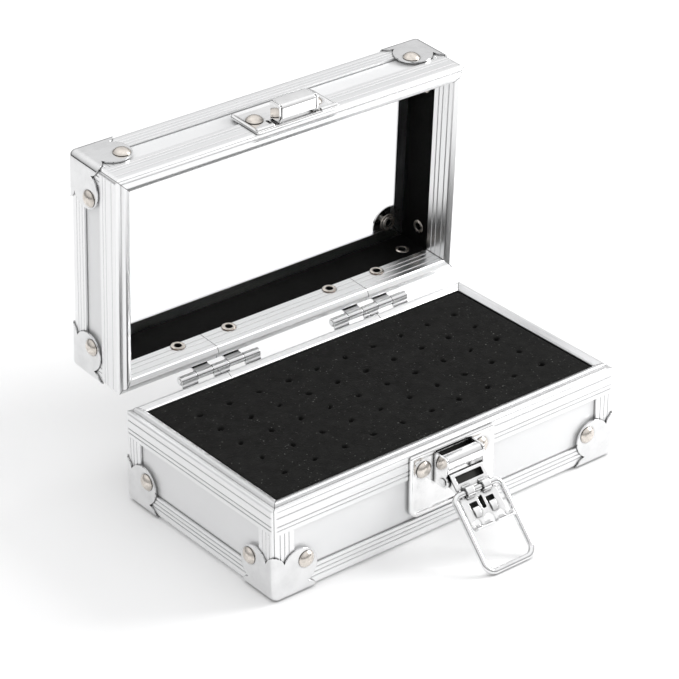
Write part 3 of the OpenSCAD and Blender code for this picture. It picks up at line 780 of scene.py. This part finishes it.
def latch_pin():
    bm = bmesh.new()
    at = Matrix.Translation(LATCH_PIN) @ Matrix.Rotation(math.radians(90), 4, "Y")
    lathe(bm, [(0, -8.9), (0.9, -8.9), (1.35, -8.75), (1.4, -8.5), (1.3, -8.35), (0.9, -8.32),
               (0.9, 8.32), (1.3, 8.35), (1.4, 8.5), (1.35, 8.75), (0.9, 8.9), (0, 8.9)], at)
    piece = place("catch_pin", bm, "case_base", [WIRE], "latch_pin")


def carved(solid, cutters):
    """Solid less the cutters, as a new bmesh; all are bmeshes in millimetres."""
    objs = []
    for k, source in enumerate([solid] + cutters):
        bmesh.ops.recalc_face_normals(source, faces=source.faces[:])
        mesh = bpy.data.meshes.new("carve_%d" % k)
        source.to_mesh(mesh)
        source.free()
        obj = bpy.data.objects.new("carve_%d" % k, mesh)
        bpy.context.collection.objects.link(obj)
        objs.append(obj)
    for cutter in objs[1:]:
        mod = objs[0].modifiers.new("cut", "BOOLEAN")
        mod.operation = "DIFFERENCE"
        mod.solver = "EXACT"
        mod.object = cutter
    done = objs[0].evaluated_get(bpy.context.evaluated_depsgraph_get()).to_mesh()
    result = bmesh.new()
    result.from_mesh(done)
    for obj in objs:
        mesh = obj.data
        bpy.data.objects.remove(obj)
        bpy.data.meshes.remove(mesh)
    return result


# The lever's own frame: x across, u down the lever, v out of its face
UV = LEVER @ Matrix(((1, 0, 0, 0), (0, 0, -1, 0), (0, -1, 0, 0), (0, 0, 0, 1)))


def block(x0, x1, u0, u1, v0, v1, r=0.0):
    bm = bmesh.new()
    line = outline(x0, x1, u0, u1, (r, r, r, r), 4) if r else [(x0, u0), (x1, u0), (x1, u1), (x0, u1)]
    loft(bm, [[(x, u, v) for x, u in line] for v in (v0, v1)], Matrix.Identity(4))
    return bm


def merge(target, source, at):
    """Moves source's geometry into target."""
    made = {v: target.verts.new(at @ v.co) for v in source.verts}
    for f in source.faces:
        target.faces.new([made[v] for v in f.verts])
    source.free()


def latch_lever():
    """Pressed lever: slotted upper plate with side flanges, straps over the bail's bar, curled end."""
    bm = bmesh.new()
    ident = Matrix.Identity(4)
    upper = bmesh.new()
    path = fillet([(-1.15, 2.3), (-0.9, 3.3), (5.0, 3.3)], 0.7)
    bent_sheet(upper, path, 0.8, -7.2, 7.2, ident)
    merge(bm, carved(upper, [block(-5.7, 5.7, 0.25, 2.95, 1.0, 5.0, 0.35)]), UV)
    lower = bmesh.new()
    path = fillet([(8.0, 3.3), (16.4, 3.3), (18.3, 3.5), (19.6, 4.6), (19.2, 6.0), (17.8, 6.2)],
                  [2.0, 1.5, 1.4, 0.9])
    bent_sheet(lower, path, 0.8, -7.9, 7.9, ident, 48)
    cuts = [block(s * 3.6 - 1.7, s * 3.6 + 1.7, 10.3, 12.7, 1.0, 4.4, 0.4) for s in (-1, 1)]
    cuts.append(block(-0.9, 0.9, 9.0, 13.6, 2.0, 4.4, 0.5))
    for c in (-5.3, 0.0, 5.3):
        notch = bmesh.new()
        lathe(notch, [(0, 2.6), (1.55 if c else 2.1, 2.6), (1.55 if c else 2.1, 8.0), (0, 8.0)],
              Matrix.Translation((c, 17.4, 0)), 28)
        cuts.append(notch)
    merge(bm, carved(lower, cuts), UV)
    for s in (-1, 1):
        arch = fillet([(4.2, 3.7), (4.9, 4.0), (5.1, 5.55), (7.9, 5.55), (8.1, 4.0), (8.9, 3.7)], 0.9)
        bent_sheet(bm, arch, 0.7, s * 3.6 - 1.5, s * 3.6 + 1.5, UV)
        under = fillet([(4.4, 3.1), (4.9, 2.3), (8.1, 2.3), (8.6, 3.1)], 0.5)
        bent_sheet(bm, under, 0.6, s * 3.6 - 1.4, s * 3.6 + 1.4, UV)
        bent_sheet(bm, [(12.2, 3.75), (14.2, 4.15), (15.6, 3.8)], 0.5, s * 3.6 - 1.2, s * 3.6 + 1.2, UV)
        flange = [(-1.0, 3.3), (-1.7, 1.0), (-1.55, -1.2), (0.0, -1.95), (1.6, -1.2), (2.6, 0.2),
                  (4.8, 1.6), (8.6, 2.7), (8.9, 3.3)]
        x = s * 6.8
        loft(bm, [[(x + d, u, v) for u, v in flange] for d in (-0.4, 0.4)], UV)
    # painted shade: black sheets behind the slot and the stamped windows, for the shade seen through them
    for x0, x1, u0, u1, v in ((-6.3, 6.3, -0.6, 3.5, 2.2), (-6.6, 6.6, 9.2, 14.4, 2.35)):
        loft(bm, [[(x, u, v + d) for x, u in ((x0, u0), (x1, u0), (x1, u1), (x0, u1))]
                  for d in (-0.12, 0.0)], UV, 1)
    piece = place("draw_lever", bm, "lever", [LATCH, PAINTED_SHADE_BLACK], "latch_lever", bevel=0.12)


latch_plate()
latch_bracket()
latch_pin()
latch_lever()


# ---------- keeper on the lid ----------


def strike():
    """Keeper: a plate with turned-down edges and a raised hook that the bail's end drops behind."""
    bm = bmesh.new()
    z0, z1 = SEAM_Z + 0.9, SEAM_Z + 17.4
    rings = []
    for inset, out in ((0.0, 0.0), (0.0, 0.5), (0.1, 0.85), (0.35, 1.05), (0.8, 1.1), (1.25, 1.0),
                       (1.6, 0.8), (2.2, 0.72)):
        line = outline(-17.6 + inset, 17.6 - inset, z0 + inset, z1 - inset,
                       (max(1.2 - inset, 0.3),) * 2 + (max(2.0 - inset, 0.5),) * 2)
        rings.append([(x, out, z) for x, z in line])
    plate = bmesh.new()
    loft(plate, rings, Matrix.Identity(4))
    slots = [block(s * 9.35 - 0.55, s * 9.35 + 0.55, z0 + 0.9, z0 + 6.0, -1.0, 3.0, 0.4) for s in (-1, 1)]
    slots.append(block(-7.2, 7.2, z0 + 0.55, z0 + 1.5, -1.0, 3.0, 0.3))
    turn = Matrix(((1, 0, 0, 0), (0, 0, 1, 0), (0, 1, 0, 0), (0, 0, 0, 1)))
    for slot in slots:
        bmesh.ops.transform(slot, matrix=turn, verts=slot.verts)
    merge(bm, carved(plate, slots), OPENED @ FRONT)
    for s in (-1, 1):
        bent_sheet(bm, fillet([(0.15, z0 + 0.45), (1.5, z0 + 0.45), (1.5, z0 + 1.6)], 0.5), 0.7,
                   min(s * 10.1, s * 17.2), max(s * 10.1, s * 17.2), OPENED @ FRONT)
    # hook: face with a turned-in lip at its far end, and a sloping end towards the lid's edge
    hook = fillet([(6.9, z0 + 6.5), (7.6, z0 + 6.2), (7.6, z0 + 0.9), (6.8, z0 + 0.4), (2.9, z0 + 0.4)],
                  [0.5, 0.9, 0.5])
    bent_sheet(bm, hook, 0.8, -7.2, 7.2, OPENED @ FRONT)
    for s in (-1, 1):
        x = s * 7.95
        side = [(0.9, z0 + 1.2), (0.9, z0 + 5.2), (5.8, z0 + 5.4), (7.2, z0 + 5.9),
                (8.0, z0 + 5.4), (8.0, z0 + 1.0), (7.4, z0 + 0.3), (3.2, z0)]
        loft(bm, [[(x + d, a, b) for a, b in side] for d in (-0.4, 0.4)], OPENED @ FRONT)
        bent_sheet(bm, [(7.6, z0 + 0.9), (7.6, z0 + 5.4)], 0.8,
                   min(s * 7.0, s * 8.0), max(s * 7.0, s * 8.0), OPENED @ FRONT)
    piece = place("keeper", bm, "lid", [LATCH], "strike", bevel=0.15)


strike()


# ---------- floor, light and camera ----------


def floor():
    mesh = bpy.data.meshes.new("floor")
    r = 3.0
    mesh.from_pydata([(-r, -r, 0), (r, -r, 0), (r, r, 0), (-r, r, 0)], [], [(0, 1, 2, 3)])
    obj = bpy.data.objects.new("floor", mesh)
    bpy.context.collection.objects.link(obj)
    mat, s = principled("floor_white")
    g = Graph(mat)
    cloud = g.noise(3.0, 2.0, 0.5)
    g.link(g.mix(cloud, (0.90, 0.90, 0.90), (0.915, 0.915, 0.915)), s.inputs["Base Color"])
    s.inputs["Roughness"].default_value = 0.7
    s.inputs["Specular IOR Level"].default_value = 0.2
    s.inputs["Emission Color"].default_value = (1.0, 1.0, 1.0, 1.0)
    s.inputs["Emission Strength"].default_value = 0.06
    mesh.materials.append(mat)


def lamp(name, where, size, power, look_at=(0, 0, 0.05)):
    data = bpy.data.lights.new(name, "AREA")
    data.shape = "DISK"
    data.size = size
    data.energy = power
    obj = bpy.data.objects.new(name, data)
    bpy.context.collection.objects.link(obj)
    obj.location = where
    direction = Vector(look_at) - Vector(where)
    obj.rotation_euler = direction.to_track_quat("-Z", "Y").to_euler()


def world():
    w = bpy.data.worlds.new("studio")
    bpy.context.scene.world = w
    w.use_nodes = True
    t = w.node_tree
    background = t.nodes["Background"]
    background.inputs["Strength"].default_value = 0.95
    coord = t.nodes.new("ShaderNodeTexCoord")
    split = t.nodes.new("ShaderNodeSeparateXYZ")
    t.links.new(coord.outputs["Generated"], split.inputs[0])
    ramp = t.nodes.new("ShaderNodeValToRGB")
    t.links.new(split.outputs["Z"], ramp.inputs["Fac"])
    e = ramp.color_ramp.elements
    e[0].position, e[0].color = 0.0, (0.03, 0.03, 0.03, 1)
    e[1].position, e[1].color = 1.0, (1.25, 1.25, 1.25, 1)
    for p, v in ((0.10, 0.05), (0.17, 0.35), (0.30, 0.70), (0.55, 0.95), (0.8, 1.2)):
        n = e.new(p)
        n.color = (v, v, v * 1.005, 1)
    t.links.new(ramp.outputs["Color"], background.inputs["Color"])


def camera():
    data = bpy.data.cameras.new("camera")
    data.sensor_width = 36.0
    data.lens = 151.85
    data.clip_start = 0.05
    data.clip_end = 20.0
    obj = bpy.data.objects.new("camera", data)
    bpy.context.collection.objects.link(obj)
    az, el, roll = (math.radians(v) for v in (-38.545, 29.115, -0.16))
    back = Vector((math.sin(az) * math.cos(el), -math.cos(az) * math.cos(el), math.sin(el)))
    right = (-back).cross(Vector((0, 0, 1))).normalized()
    up = right.cross(-back)
    r2 = math.cos(roll) * right + math.sin(roll) * up
    u2 = -math.sin(roll) * right + math.cos(roll) * up
    m = Matrix((r2, u2, back)).transposed().to_4x4()
    m.translation = Vector((-0.54067, -0.66019, 0.52995))
    obj.matrix_world = m
    bpy.context.scene.camera = obj


floor()
world()
lamp("key", (0.80, -0.34, 0.46), 0.42, 6.4)
camera()
bpy.context.scene.view_settings.view_transform = "Standard"
